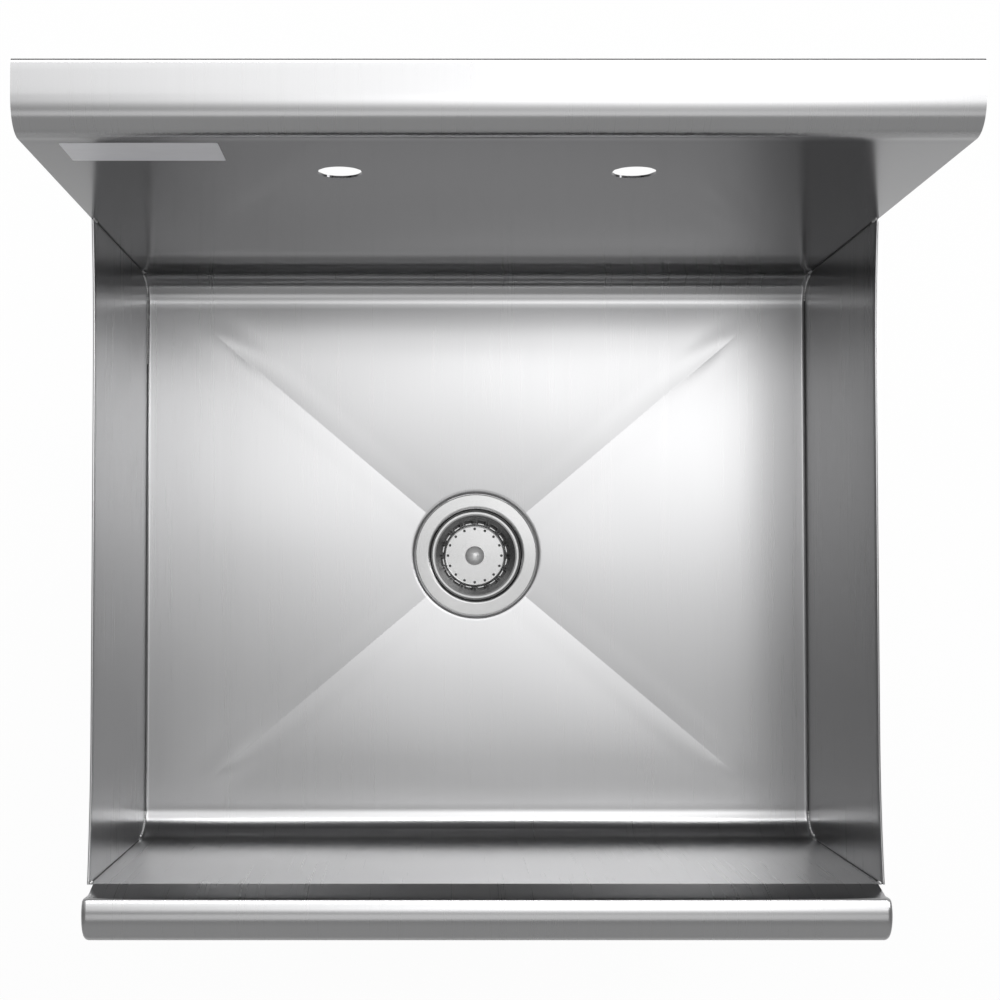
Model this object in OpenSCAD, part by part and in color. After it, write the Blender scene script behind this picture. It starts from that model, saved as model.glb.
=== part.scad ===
// Free-standing mop service sink, bent and welded from stainless sheet.
// +X is to the right, +Y to the back and +Z up. The origin is on the ground,
// under the middle of the sink's outer box.

/* [Bowl] */
// Inside width, left to right
bowl_w = 609.6; // [560:0.1:760]
// Inside length, front to back
bowl_l = 515.2; // [480:0.1:640]
// Depth from the rim down to the edge of the floor
bowl_depth = 245; // [180:1:320]
// Height of the rim above the ground
rim_h = 711; // [620:1:900]
// Thickness of the sheet
sheet_t = 1.6; // [1.2:0.1:2]
// Inside radius where the floor turns up into the front and back walls
cove_r = 25; // [18:1:30]
// Inside radius where the floor turns up to the side panels
side_r = 8; // [5:1:11]
// Height of the weld that fills each corner above the side bends
corner_weld_h = 12; // [6:1:20]

/* [Floor creases] */
// Reach of the pressed creases to the left and right of the drain
crease_x = 229; // [190:1:232]
// Reach of the pressed creases to the front and back of the drain
crease_y = 193; // [160:1:210]
// Fall of the creased floor to the drain
crease_fall = 10; // [6:1:14]

/* [Side panels] */
// Drop of the panel's top edge below the rim in the middle
panel_dip = 4; // [0:1:8]
// Rise of the panel's top edge above the rim at its ends
panel_rise = 5; // [1:1:6]
// Length of the upward sweep at each end of the top edge
panel_sweep = 115; // [60:1:180]

/* [Front roll] */
// Outside radius of the rolled edge
roll_r = 17; // [13:0.5:19]
// Distance from the front wall forward to the roll's centre
roll_out = 23.5; // [22:0.5:30]
// Height of the roll's centre above the rim
roll_up = 11.7; // [8:0.1:16]
// Angle at which the curled-under edge ends
roll_end = 250; // [200:5:280]
// Outside corner radius of the roll's end caps
roll_cap_r = 4; // [2.5:0.5:6]

/* [Backsplash] */
// Height of the ledge above the rim
splash_h = 254; // [200:1:330]
// Depth of the ledge from the splash's front face
ledge_d = 46.5; // [40:0.5:70]
// Outside radius of the bend between the splash and the ledge
ledge_bend_r = 24; // [12:1:30]
// Outside radius of the bend at the back of the ledge
hem_bend_r = 3.5; // [2.5:0.5:6]
// Height of the edge turned down at the back of the ledge
hem_h = 22; // [14:1:40]
// Length of the end cap's tapered tail below the turned-down edge
tail_h = 150; // [60:5:180]

/* [Tap holes] */
// Distance between the two tap holes
tap_spacing = 203.2; // [150:0.1:260]
// Diameter of a tap hole
tap_hole_d = 31.8; // [22:0.1:38]
// Height of the tap holes above the rim
tap_h = 148; // [80:1:170]
// Sideways place of the middle of the pair
tap_x = -3.6; // [-12:0.1:12]

/* [Drain recess] */
// Diameter of the pressed recess around the drain
recess_d = 117; // [115:0.5:126]
// Drop of the recess's floor below the point where the creases would meet
recess_fall = 1; // [0.5:0.5:4]
// Diameter of the hole for the strainer
drain_hole_d = 92; // [89.5:0.5:96]

/* [Strainer body] */
// Diameter of the flange
flange_d = 113; // [108:0.5:114]
// Thickness of the flange
flange_t = 2.2; // [1.6:0.1:3]
// Inside diameter of the mouth
mouth_d = 83; // [82.2:0.1:84]
// Radius of the rounded lip between the flange and the mouth
lip_r = 4; // [3:0.5:5]
// Depth of the shoulder that carries the basket, below the flange's seat
shoulder_depth = 12; // [9:0.5:15]
// Inside diameter below the shoulder
cup_d = 78; // [77:0.1:79.5]
// Depth of the cup below the flange's seat
cup_depth = 50; // [49:0.5:60]
// Wall of the cup
cup_t = 2; // [1.5:0.1:2.4]
// Outside diameter of the threaded outlet
neck_d = 46.4; // [44:0.1:48]
// Bore of the outlet
neck_bore_d = 38; // [34:0.5:40]
// Length of the outlet below the cup
neck_l = 24; // [18:1:32]
// Width and height of the bars across the outlet
bar_w = 3; // [2:0.5:4]
// Drop of the bars' undersides below the cup's floor
bar_drop = 10; // [6:0.5:16]
// Height of the thread round the shoulder above the cup's outside
thread_t = 3; // [1.5:0.1:4]

/* [Strainer fixings] */
// Thickness of the rubber seal under the sink
seal_t = 3; // [2:0.5:5]
// Thickness of the friction ring under the seal
ring_t = 1; // [0.6:0.1:2]
// Outside diameter of the seal and the ring
seal_d = 112; // [106:1:116]
// Height of the lock nut
lock_nut_h = 12; // [8:1:16]
// Outside diameter of the lock nut's rim
lock_nut_d = 104; // [98:1:108]
// Number of lugs on the lock nut
lock_nut_lugs = 8; // [6:1:12]

/* [Tailpiece] */
// Outside diameter of the tailpiece
tail_d = 38.1; // [34:0.1:39]
// Wall of the tailpiece
tail_t = 1.2; // [0.8:0.1:1.6]
// Length of the tailpiece below its flange
tail_l = 120; // [80:5:180]
// Thickness of the tailpiece's flange
tail_flange_t = 2; // [1.5:0.1:3]
// Thickness of the washer between the outlet and the tailpiece
tail_washer_t = 2; // [1.5:0.5:4]
// Height of the coupling nut
coupling_h = 20; // [16:1:26]
// Distance across the coupling nut
coupling_d = 60; // [56:1:66]
// Clearance all round the tailpiece where it passes through the coupling nut
coupling_gap = 1; // [0.8:0.1:1.5]

/* [Basket] */
// Diameter of the basket's rim
basket_rim_d = 80.8; // [80:0.1:82]
// Outside diameter of the basket just under its rim
basket_top_d = 76.4; // [70:0.1:77]
// Outside diameter of the basket at its floor
basket_floor_d = 60.6; // [56:0.1:66]
// Depth of the basket under its rim
basket_depth = 32; // [26:0.5:32.5]
// Thickness of the basket's sheet
basket_t = 0.8; // [0.6:0.1:1]
// Number of slots in the wall
slots = 16; // [8:1:20]
// Width of a slot
slot_w = 8; // [4:0.1:9]
// Height of a slot
slot_h = 12; // [8:0.5:15]
// Height of the slots' lower edges above the underside of the basket's floor
slot_rise = 5; // [4:0.5:8]
// Corner radius of a slot
slot_r = 1.5; // [0.5:0.1:1.9]
// Number of holes in the floor
floor_holes = 16; // [8:1:24]
// Diameter of a floor hole
floor_hole_d = 2.6; // [1.5:0.1:3.5]
// Diameter of the circle of floor holes
floor_ring_d = 51.2; // [42:0.1:51.5]

/* [Basket knob] */
// Diameter of the knob
knob_d = 17.8; // [12:0.1:22]
// Height of the knob's domed cap
knob_h = 6; // [4:0.5:8]
// Height of the knob's neck
knob_neck_h = 3; // [2:0.5:5]
// Diameter of the stopper's hub
stopper_hub_d = 17; // [12:0.5:20]
// Diameter of the knob's neck
knob_neck_d = 10; // [8:0.5:11]
// Diameter of the post
post_d = 6; // [4:0.1:7]
// Length of the post below the clip
post_end = 2.5; // [1:0.5:4]
// Diameter of the rubber stopper
stopper_d = 50; // [44:1:60]
// Thickness of the rubber stopper
stopper_t = 5.2; // [4:0.1:5.5]
// Thickness of the clip under the stopper
clip_t = 1; // [0.8:0.1:1.4]
// Diameter of the clip
clip_d = 22; // [16:1:28]

/* [Legs] */
// Diameter of the leg tube
leg_d = 41.3; // [38:0.1:44]
// Wall of the leg tube
leg_t = 1.5; // [1.2:0.1:2.5]
// Distance from the leg's axis to the inside of the side panel
leg_inset_x = 43; // [42:0.5:45]
// Distance from the leg's axis to the inside of the front or back wall
leg_inset_y = 58; // [58:0.5:70]
// Length of the socket that holds the leg
socket_h = 62; // [45:1:80]
// Wall of the socket
socket_t = 3; // [2.4:0.1:3.6]
// Depth by which the set screws stand out of the sockets
screw_out = 1.5; // [0.5:0.5:4]
// Diameter of the socket's flange
socket_flange_d = 63; // [60:0.5:64]
// Thickness of the socket's flange
socket_flange_t = 3; // [2:0.5:5]
// Height and width of the flare between the socket and its flange
socket_flare = 6; // [3:0.5:6]
// Diameter of the set screw
screw_d = 8; // [6:0.5:10]

/* [Feet] */
// Height of the foot's body
foot_h = 44; // [36:1:52]
// Diameter of the foot's body
foot_d = 36; // [32:0.5:37]
// Diameter of the flat that stands on the ground
foot_base_d = 22; // [18:1:26]
// Gap between the foot's body and the leg at rest
foot_gap = 12; // [11:1:18]
// Diameter of the foot's threaded stem
stem_d = 12; // [10:0.5:14]
// Length of the stem above the foot's body
stem_l = 44; // [36:1:52]
// Length of the threaded insert in the leg
insert_l = 24; // [18:1:32]

/* [Fits] */
// Clearance all round a turning or sliding stem
run_gap = 0.05; // [0.02:0.01:0.09]
// Clearance all round a piece that is slipped into another
slip_gap = 0.2; // [0.1:0.05:0.3]
// Clearance between the stopper and the cup's floor
stopper_gap = 0.3; // [0.1:0.1:0.6]

/* [Hidden] */
$fn = 96;
// Extra length by which a cutter passes through what it cuts
cut = 1;

// Bowl
half_w = bowl_w / 2;
half_l = bowl_l / 2;
outer_w = bowl_w + 2 * sheet_t;
floor_z = rim_h - bowl_depth;
under_z = floor_z - sheet_t;
cove_top_z = floor_z + cove_r;
panel_top_z = rim_h - panel_dip;
// Radius of the arc that sweeps the panel's top edge up from its dip to its rise
sweep_h = panel_dip + panel_rise;
sweep_r = (pow(panel_sweep, 2) + pow(sweep_h, 2)) / (2 * sweep_h);

// Front roll: a strip leans out from the rim and meets the roll as its tangent
roll_reach = roll_out + roll_r;
crease_to_roll = norm([roll_out, roll_up]);
lean_l = sqrt(pow(crease_to_roll, 2) - pow(roll_r, 2));
lean_tilt = 90 - atan2(roll_up, roll_out) - asin(roll_r / crease_to_roll);
roll_w = outer_w - 2 * roll_cap_r;

// Backsplash
ledge_z = rim_h + splash_h;
ledge_back = half_l + ledge_d;
tap_z = rim_h + tap_h;
// The bowl's middle, so that the outer box is centred on the origin
bowl_y = (roll_reach - ledge_d) / 2;

// Strainer, measured down from the recess's floor
seat_z = floor_z - crease_fall - recess_fall;
shoulder_z = seat_z - shoulder_depth;
cup_z = seat_z - cup_depth;
neck_z = cup_z - cup_t - neck_l;
thread_d = cup_d + 2 * cup_t + 2 * thread_t;
seal_z = seat_z - sheet_t - seal_t;
ring_z = seal_z - ring_t;
lock_nut_z = ring_z - lock_nut_h;
bar_z = cup_z - bar_drop;

// Tailpiece
tail_flange_z = neck_z - tail_washer_t - tail_flange_t;
coupling_lip = 4;
coupling_z = tail_flange_z - coupling_lip;

// Basket
basket_rim_z = shoulder_z;
basket_floor_z = shoulder_z - basket_depth;
slot_z = basket_floor_z + slot_rise + slot_h / 2;
stopper_z = cup_z + stopper_gap;
clip_z = stopper_z - clip_t;

// Legs and feet
leg_x = half_w - leg_inset_x;
leg_y = half_l - leg_inset_y;
leg_top_z = under_z - socket_flange_t;
leg_end_z = foot_h + foot_gap;
socket_z = leg_top_z - socket_h;
socket_d = leg_d + 2 * slip_gap + 2 * socket_t;
screw_z = socket_z + socket_h / 3;
screw_l = slip_gap + socket_t + screw_out;

// Moves what is modelled about the bowl's middle to its place over the origin
module at_bowl() {
    translate([0, bowl_y, 0]) children();
}

// Extrudes an outline drawn in Y and Z over a width centred on the middle
module across(w) {
    rotate([90, 0, 90]) translate([0, 0, -w / 2]) linear_extrude(w) children();
}

// Extrudes an outline drawn in X and Z over a length centred on the middle
module along(l) {
    rotate([90, 0, 0]) translate([0, 0, -l / 2]) linear_extrude(l) children();
}

// Bent strip of sheet in outline: outside radius r, from angle a0 to angle a1
module bent_strip(r, a0, a1, t = sheet_t) {
    steps = 6;
    far = 3 * r;
    intersection() {
        difference() {
            circle(r);
            circle(r - t);
        }
        polygon(concat([[0, 0]], [
            for (i = [0 : steps]) let (a = a0 + (a1 - a0) * i / steps) far * [cos(a), sin(a)]
        ]));
    }
}

// Both walls above the coves, the splash and its ledge
module wall_outline() {
    wall_h = rim_h - cove_top_z;
    splash_top = ledge_z - ledge_bend_r;
    translate([-half_l - sheet_t, cove_top_z]) square([sheet_t, wall_h]);
    translate([half_l, cove_top_z]) square([sheet_t, splash_top - cove_top_z]);
    translate([half_l + ledge_bend_r, splash_top]) bent_strip(ledge_bend_r, 90, 180);
    translate([half_l + ledge_bend_r, ledge_z - sheet_t])
        square([ledge_d - ledge_bend_r - hem_bend_r, sheet_t]);
    translate([ledge_back - hem_bend_r, ledge_z - hem_bend_r]) bent_strip(hem_bend_r, 0, 90);
    translate([ledge_back - sheet_t, ledge_z - hem_h]) square([sheet_t, hem_h - hem_bend_r]);
}

// The strip that leans out over the front wall and the roll that it ends in
module roll_outline() {
    translate([-half_l, rim_h]) rotate(lean_tilt) {
        translate([-sheet_t, 0]) square([sheet_t, lean_l]);
        translate([-roll_r, lean_l]) bent_strip(roll_r, 0, roll_end - lean_tilt);
    }
}

// The floor between its side bends, with the coves at its front and back
module floor_outline() {
    translate([-half_l + cove_r, under_z]) square([bowl_l - 2 * cove_r, sheet_t]);
    for (s = [0, 1]) mirror([s, 0]) translate([half_l - cove_r, cove_top_z])
        bent_strip(cove_r + sheet_t, 270, 360);
}

// The turned-up edge along the right of the floor, carried up both coves
module side_bend() {
    flat_l = bowl_l - 2 * cove_r;
    translate([half_w - side_r, 0, floor_z + side_r]) along(flat_l)
        bent_strip(side_r + sheet_t, 270, 360);
    for (s = [0, 1]) mirror([0, s, 0]) translate([0, half_l - cove_r, cove_top_z]) rotate([0, 90, 0])
        rotate_extrude(angle = 90) translate([cove_r - side_r, half_w - side_r])
            bent_strip(side_r + sheet_t, 0, 90);
}

// Inverted pyramid whose faces meet in the floor's creases, with its base at height z
module crease_pit(z, rise) {
    translate([0, 0, z]) intersection() {
        across(2 * crease_x) polygon([
            [-crease_y, 0], [0, -crease_fall], [crease_y, 0], [crease_y, rise], [-crease_y, rise]
        ]);
        along(2 * crease_y) polygon([
            [-crease_x, 0], [0, -crease_fall], [crease_x, 0], [crease_x, rise], [-crease_x, rise]
        ]);
    }
}

module body_sheet() {
    color("silver") at_bowl() difference() {
        union() {
            across(outer_w) wall_outline();
            across(roll_w) roll_outline();
            across(bowl_w - 2 * side_r) floor_outline();
            for (s = [0, 1]) mirror([s, 0, 0]) side_bend();
            crease_pit(under_z, sheet_t / 2);
            translate([0, 0, seat_z - sheet_t])
                cylinder(d = recess_d + 2 * sheet_t, h = floor_z - sheet_t / 2 - (seat_z - sheet_t));
        }
        crease_pit(floor_z, cut);
        translate([0, 0, seat_z]) cylinder(d = recess_d, h = crease_fall + recess_fall + cut);
        translate([0, 0, seat_z - sheet_t - cut]) cylinder(d = drain_hole_d, h = sheet_t + 2 * cut);
        for (s = [-1, 1]) translate([tap_x + s * tap_spacing / 2, half_l - cut, tap_z])
            rotate([-90, 0, 0]) cylinder(d = tap_hole_d, h = sheet_t + 2 * cut);
    }
}

// Flat panel between the walls, with its lower edge on the turned-up side bend
module panel_outline() {
    low_r = cove_r - side_r;
    low_y = half_l - cove_r;
    top = rim_h + panel_rise;
    difference() {
        union() {
            translate([-half_l, cove_top_z]) square([bowl_l, top - cove_top_z]);
            translate([-low_y, floor_z + side_r]) square([2 * low_y, low_r]);
            for (s = [-1, 1]) intersection() {
                translate([s * low_y, cove_top_z]) circle(low_r);
                translate([s * low_y - (s < 0 ? low_r : 0), floor_z + side_r]) square(low_r);
            }
        }
        translate([-half_l + panel_sweep, panel_top_z]) square([bowl_l - 2 * panel_sweep, sweep_h + cut]);
        for (s = [-1, 1]) intersection() {
            translate([s * (half_l - panel_sweep), panel_top_z + sweep_r]) circle(sweep_r, $fn = 360);
            translate([s > 0 ? half_l - panel_sweep : -half_l - cut, panel_top_z])
                square([panel_sweep + cut, sweep_h + cut]);
        }
    }
}

module side_panel(side) {
    color("gainsboro") at_bowl() translate([side * (half_w + sheet_t / 2), 0, 0])
        across(sheet_t) panel_outline();
}

// Weld that closes a square corner above the end of the rounded side bend
module corner_weld() {
    leg = side_r / 2;
    translate([half_w, half_l, cove_top_z]) linear_extrude(corner_weld_h)
        polygon([[0, 0], [-leg, 0], [0, -leg]]);
}

module corner_welds() {
    color("darkgray") at_bowl() for (sx = [0, 1], sy = [0, 1])
        mirror([sx, 0, 0]) mirror([0, sy, 0]) corner_weld();
}

// Cuts a corner to radius r, its centre at the origin, towards +Y and +Z
module corner_cut(r) {
    difference() {
        square(r + cut);
        circle(r);
    }
}

// Plate that closes the end of the ledge and tapers down behind the splash
module end_cap_outline() {
    inner_y = half_l + sheet_t;
    back_y = ledge_back - sheet_t;
    top_z = ledge_z - sheet_t;
    hem_z = ledge_z - hem_h;
    difference() {
        polygon([[inner_y, hem_z - tail_h], [back_y, hem_z], [back_y, top_z], [inner_y, top_z]]);
        translate([half_l + ledge_bend_r, ledge_z - ledge_bend_r])
            mirror([1, 0]) corner_cut(ledge_bend_r - sheet_t);
        translate([ledge_back - hem_bend_r, ledge_z - hem_bend_r]) corner_cut(hem_bend_r - sheet_t);
    }
}

module splash_end_cap(side) {
    color("gainsboro") at_bowl() translate([side * (half_w + sheet_t / 2), 0, 0])
        across(sheet_t) end_cap_outline();
}

// Shallow drawn cap on the roll's end, its outer corner rounded
module roll_end_cap(side) {
    flat_r = roll_r - roll_cap_r;
    inner_r = roll_cap_r - sheet_t;
    color("gainsboro") at_bowl()
        translate([side * roll_w / 2, -half_l - roll_out, rim_h + roll_up])
            rotate([0, side * 90, 0]) rotate_extrude() {
                translate([0, inner_r]) square([flat_r, sheet_t]);
                translate([flat_r, 0]) bent_strip(roll_cap_r, 0, 90);
            }
}

// Flange, rounded lip, shouldered cup and threaded outlet in one turned outline
module strainer_outline() {
    mouth_r = mouth_d / 2;
    cup_r = cup_d / 2;
    flange_top = seat_z + flange_t;
    floor_r = neck_bore_d / 2;
    difference() {
        union() {
            translate([0, seat_z]) square([flange_d / 2 - flange_t / 2, flange_t]);
            translate([flange_d / 2 - flange_t / 2, seat_z]) intersection() {
                circle(flange_t / 2);
                square(flange_t);
            }
            translate([0, cup_z - cup_t]) square([cup_r + cup_t, cup_depth + cup_t]);
            translate([0, shoulder_z - cup_t]) square([thread_d / 2, shoulder_depth + cup_t]);
            translate([0, neck_z]) square([neck_d / 2, neck_l + cut]);
        }
        translate([0, shoulder_z]) square([mouth_r, flange_top - shoulder_z + cut]);
        translate([0, cup_z]) square([cup_r, cup_depth]);
        translate([0, neck_z - cut]) square([floor_r, neck_l + cup_t + 2 * cut]);
        translate([mouth_r - cut, flange_top - lip_r]) difference() {
            square([lip_r + cut, lip_r + cut]);
            translate([lip_r + cut, 0]) circle(lip_r);
        }
    }
}

module strainer_body() {
    hub_d = 3 * bar_w;
    color("silver") at_bowl() {
        rotate_extrude() strainer_outline();
        intersection() {
            translate([0, 0, bar_z]) union() {
                cylinder(d = hub_d, h = bar_w);
                for (a = [0, 90]) rotate(a) translate([-neck_bore_d / 2 - cut, -bar_w / 2, 0])
                    cube([neck_bore_d + 2 * cut, bar_w, bar_w]);
            }
            translate([0, 0, bar_z - cut]) cylinder(d = neck_bore_d + cut, h = bar_w + 2 * cut);
        }
    }
}

// Flat ring with its underside at height z
module flat_ring(outer_d, inner_d, z, h) {
    translate([0, 0, z]) difference() {
        cylinder(d = outer_d, h = h);
        translate([0, 0, -cut]) cylinder(d = inner_d, h = h + 2 * cut);
    }
}

module strainer_seal() {
    color("dimgray") at_bowl() flat_ring(seal_d, thread_d + 2 * slip_gap, seal_z, seal_t);
}

module friction_ring() {
    color("burlywood") at_bowl() flat_ring(seal_d, thread_d + 2 * slip_gap, ring_z, ring_t);
}

// Round nut with an outer flange on top and lugs to turn it by
module lock_nut() {
    lug_w = 9;
    lug_out = 3.5;
    lug_inset = 0.5;
    flange_h = 3;
    bore_d = cup_d + 2 * cup_t + 2 * slip_gap;
    color("silver") at_bowl() difference() {
        translate([0, 0, lock_nut_z]) union() {
            translate([0, 0, lock_nut_h - flange_h]) cylinder(d = lock_nut_d, h = flange_h);
            cylinder(d = lock_nut_d - 2 * (lug_out + lug_inset), h = lock_nut_h);
            for (i = [0 : lock_nut_lugs - 1]) rotate(i * 360 / lock_nut_lugs)
                translate([0, -lug_w / 2, 0]) cube([lock_nut_d / 2 - lug_inset, lug_w, lock_nut_h - lug_inset]);
        }
        translate([0, 0, lock_nut_z - cut]) cylinder(d = bore_d, h = lock_nut_h + 2 * cut);
        translate([0, 0, shoulder_z - cup_t - slip_gap])
            cylinder(d = thread_d + 2 * slip_gap, h = shoulder_depth);
    }
}

module tailpiece_washer() {
    color("whitesmoke") at_bowl()
        flat_ring(neck_d, tail_d - 2 * tail_t, neck_z - tail_washer_t, tail_washer_t);
}

module tailpiece() {
    bore_d = tail_d - 2 * tail_t;
    color("silver") at_bowl() {
        flat_ring(neck_d, bore_d, tail_flange_z, tail_flange_t);
        flat_ring(tail_d, bore_d, tail_flange_z - tail_l, tail_l);
    }
}

// Nut with a ribbed grip that draws the tailpiece's flange up to the outlet
module coupling_nut() {
    ribs = 12;
    rib_d = 5;
    color("silver") at_bowl() difference() {
        translate([0, 0, coupling_z]) union() {
            cylinder(d = coupling_d - rib_d, h = coupling_h);
            for (i = [0 : ribs - 1]) rotate(i * 360 / ribs)
                translate([(coupling_d - rib_d) / 2, 0, 0]) cylinder(d = rib_d, h = coupling_h, $fn = 24);
        }
        translate([0, 0, tail_flange_z]) cylinder(d = neck_d + 2 * slip_gap, h = coupling_h);
        translate([0, 0, coupling_z - cut]) cylinder(d = tail_d + 2 * coupling_gap, h = coupling_h);
    }
}

// Pressed basket in outline: rim, tapered wall, rounded corner and floor
module basket_outline() {
    top_r = basket_top_d / 2;
    floor_r = basket_floor_d / 2;
    rim_r = basket_rim_d / 2;
    corner = 3;
    corner_z = basket_floor_z + corner;
    rim_top = basket_rim_z + basket_t;
    floor_top = basket_floor_z + basket_t;
    translate([0, basket_floor_z]) square([floor_r - corner, basket_t]);
    translate([floor_r - corner, corner_z]) bent_strip(corner, 270, 360, basket_t);
    polygon([
        [floor_r - basket_t, corner_z], [floor_r, corner_z], [top_r, basket_rim_z],
        [rim_r, basket_rim_z], [rim_r, rim_top], [top_r - basket_t, rim_top]
    ]);
}

// Upright rectangle with rounded corners
module slot_outline() {
    flat_w = slot_w - 2 * slot_r;
    flat_h = slot_h - 2 * slot_r;
    square([slot_w, flat_h], center = true);
    square([flat_w, slot_h], center = true);
    for (sx = [-1, 1], sz = [-1, 1]) translate([sx * flat_w / 2, sz * flat_h / 2]) circle(slot_r, $fn = 24);
}

// Each slot stands between two of the floor's holes
module basket_cup() {
    slot_reach = basket_rim_d / 2;
    color("silver") at_bowl() difference() {
        rotate_extrude() basket_outline();
        for (i = [0 : slots - 1]) rotate((i + 0.5) * 360 / slots) translate([slot_reach / 2, 0, slot_z])
            rotate([90, 0, 90]) linear_extrude(slot_reach) slot_outline();
        for (i = [0 : floor_holes - 1]) rotate(i * 360 / floor_holes)
            translate([floor_ring_d / 2, 0, basket_floor_z - cut])
                cylinder(d = floor_hole_d, h = basket_t + 2 * cut, $fn = 24);
        translate([0, 0, basket_floor_z - cut]) cylinder(d = post_d, h = basket_t + 2 * cut);
    }
}

// Domed knob on a neck, with the post that holds the stopper under the basket
module basket_knob_post() {
    knob_z = basket_floor_z + basket_t;
    dome_r = (pow(knob_d / 2, 2) + pow(knob_h, 2)) / (2 * knob_h);
    cap_z = knob_z + knob_neck_h;
    color("silver") at_bowl() {
        translate([0, 0, clip_z - post_end]) cylinder(d = post_d, h = knob_z + cut - clip_z + post_end);
        translate([0, 0, knob_z]) cylinder(d = knob_neck_d, h = knob_neck_h + cut);
        rotate_extrude() intersection() {
            translate([0, cap_z + knob_h - dome_r]) circle(dome_r);
            translate([0, cap_z]) square([knob_d / 2, knob_h]);
        }
    }
}

// Rubber disc with a bevelled edge that closes the outlet
module basket_stopper() {
    bevel = 2;
    color("dimgray") at_bowl() translate([0, 0, stopper_z]) difference() {
        union() {
            cylinder(d1 = stopper_d - 2 * bevel, d2 = stopper_d, h = bevel);
            translate([0, 0, bevel]) cylinder(d = stopper_d, h = stopper_t - bevel);
            cylinder(d = stopper_hub_d, h = basket_floor_z - stopper_z);
        }
        translate([0, 0, -cut]) cylinder(d = post_d, h = basket_floor_z - stopper_z + 2 * cut);
    }
}

// Star-shaped clip pressed on the post
module basket_clip() {
    fingers = 6;
    finger_w = 4;
    hub_d = clip_d / 2 + finger_w;
    color("gray") at_bowl() translate([0, 0, clip_z]) difference() {
        union() {
            cylinder(d = hub_d, h = clip_t);
            for (i = [0 : fingers - 1]) rotate(i * 360 / fingers)
                translate([0, -finger_w / 2, 0]) cube([clip_d / 2, finger_w, clip_t]);
        }
        translate([0, 0, -cut]) cylinder(d = post_d, h = clip_t + 2 * cut);
    }
}

// Places one of four copies: sx is -1 on the left, sy is -1 at the front
module at_leg(sx, sy) {
    at_bowl() translate([sx * leg_x, sy * leg_y, 0]) children();
}

// Flanged socket welded under the bowl, drilled for a set screw on its outer side
module leg_socket(sx, sy) {
    bore_d = leg_d + 2 * slip_gap;
    color("darkgray") at_leg(sx, sy) difference() {
        union() {
            translate([0, 0, leg_top_z]) cylinder(d = socket_flange_d, h = socket_flange_t);
            translate([0, 0, leg_top_z - socket_flare])
                cylinder(d1 = socket_d, d2 = socket_d + socket_flare, h = socket_flare);
            translate([0, 0, socket_z]) cylinder(d = socket_d, h = socket_h);
        }
        translate([0, 0, socket_z - cut]) cylinder(d = bore_d, h = socket_h + cut);
        translate([0, 0, screw_z]) rotate([0, sx * 90, 0]) cylinder(d = screw_d, h = socket_d);
    }
}

module leg(sx, sy) {
    color("silver") at_leg(sx, sy) flat_ring(leg_d, leg_d - 2 * leg_t, leg_end_z, leg_top_z - leg_end_z);
}

// Headless screws with a hexagon recess, their inner ends against the legs
module socket_screws() {
    key_w = screw_d / 2;
    color("dimgray") for (sx = [-1, 1], sy = [-1, 1]) at_leg(sx, sy)
        translate([0, 0, screw_z]) rotate([0, sx * 90, 0]) translate([0, 0, leg_d / 2]) difference() {
            cylinder(d = screw_d, h = screw_l);
            translate([0, 0, screw_l / 2]) cylinder(d = key_w, h = screw_l, $fn = 6);
        }
}

// Threaded plug pressed into the leg, with a lip under the tube's end
module foot_insert(sx, sy) {
    lip = 1.5;
    lip_d = leg_d - leg_t;
    color("gray") at_leg(sx, sy) difference() {
        union() {
            translate([0, 0, leg_end_z]) cylinder(d = leg_d - 2 * leg_t, h = insert_l);
            translate([0, 0, leg_end_z - lip]) cylinder(d = lip_d, h = lip);
        }
        translate([0, 0, leg_end_z - lip - cut])
            cylinder(d = stem_d + 2 * run_gap, h = insert_l + lip + 2 * cut);
    }
}

// Bullet-shaped foot with a spanner collar and a threaded stem
module foot(sx, sy) {
    collar_h = 8;
    tip_h = 6;
    tip_d = foot_base_d + 5;
    collar_z = foot_h - collar_h;
    color("darkgray") at_leg(sx, sy) {
        cylinder(d1 = foot_base_d, d2 = tip_d, h = tip_h);
        translate([0, 0, tip_h]) cylinder(d1 = tip_d, d2 = foot_d, h = collar_z - tip_h);
        translate([0, 0, collar_z]) cylinder(d = foot_d, h = collar_h, $fn = 6);
        translate([0, 0, foot_h - cut]) cylinder(d = stem_d, h = stem_l + cut);
    }
}

body_sheet();
side_panel(-1);  // side_panel_left
side_panel(1);  // side_panel_right
corner_welds();
splash_end_cap(-1);  // splash_end_cap_left
splash_end_cap(1);  // splash_end_cap_right
roll_end_cap(-1);  // roll_end_cap_left
roll_end_cap(1);  // roll_end_cap_right
strainer_body();
strainer_seal();
friction_ring();
lock_nut();
tailpiece_washer();
tailpiece();
coupling_nut();
basket_cup();
basket_knob_post();
basket_stopper();
basket_clip();
leg_socket(-1, -1);  // leg_socket_front_left
leg_socket(1, -1);  // leg_socket_front_right
leg_socket(-1, 1);  // leg_socket_back_left
leg_socket(1, 1);  // leg_socket_back_right
leg(-1, -1);  // leg_front_left
leg(1, -1);  // leg_front_right
leg(-1, 1);  // leg_back_left
leg(1, 1);  // leg_back_right
socket_screws();
foot_insert(-1, -1);  // foot_insert_front_left
foot_insert(1, -1);  // foot_insert_front_right
foot_insert(-1, 1);  // foot_insert_back_left
foot_insert(1, 1);  // foot_insert_back_right
foot(-1, -1);  // foot_front_left
foot(1, -1);  // foot_front_right
foot(-1, 1);  // foot_back_left
foot(1, 1);  // foot_back_right
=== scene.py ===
"""Looks of a free-standing stainless steel mop service sink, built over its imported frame.

Metres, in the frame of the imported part: +X right, +Y back, +Z up, origin on the ground.
"""
import math

import bpy
import bmesh
import numpy as np
from mathutils import Matrix, Vector, noise


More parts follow.
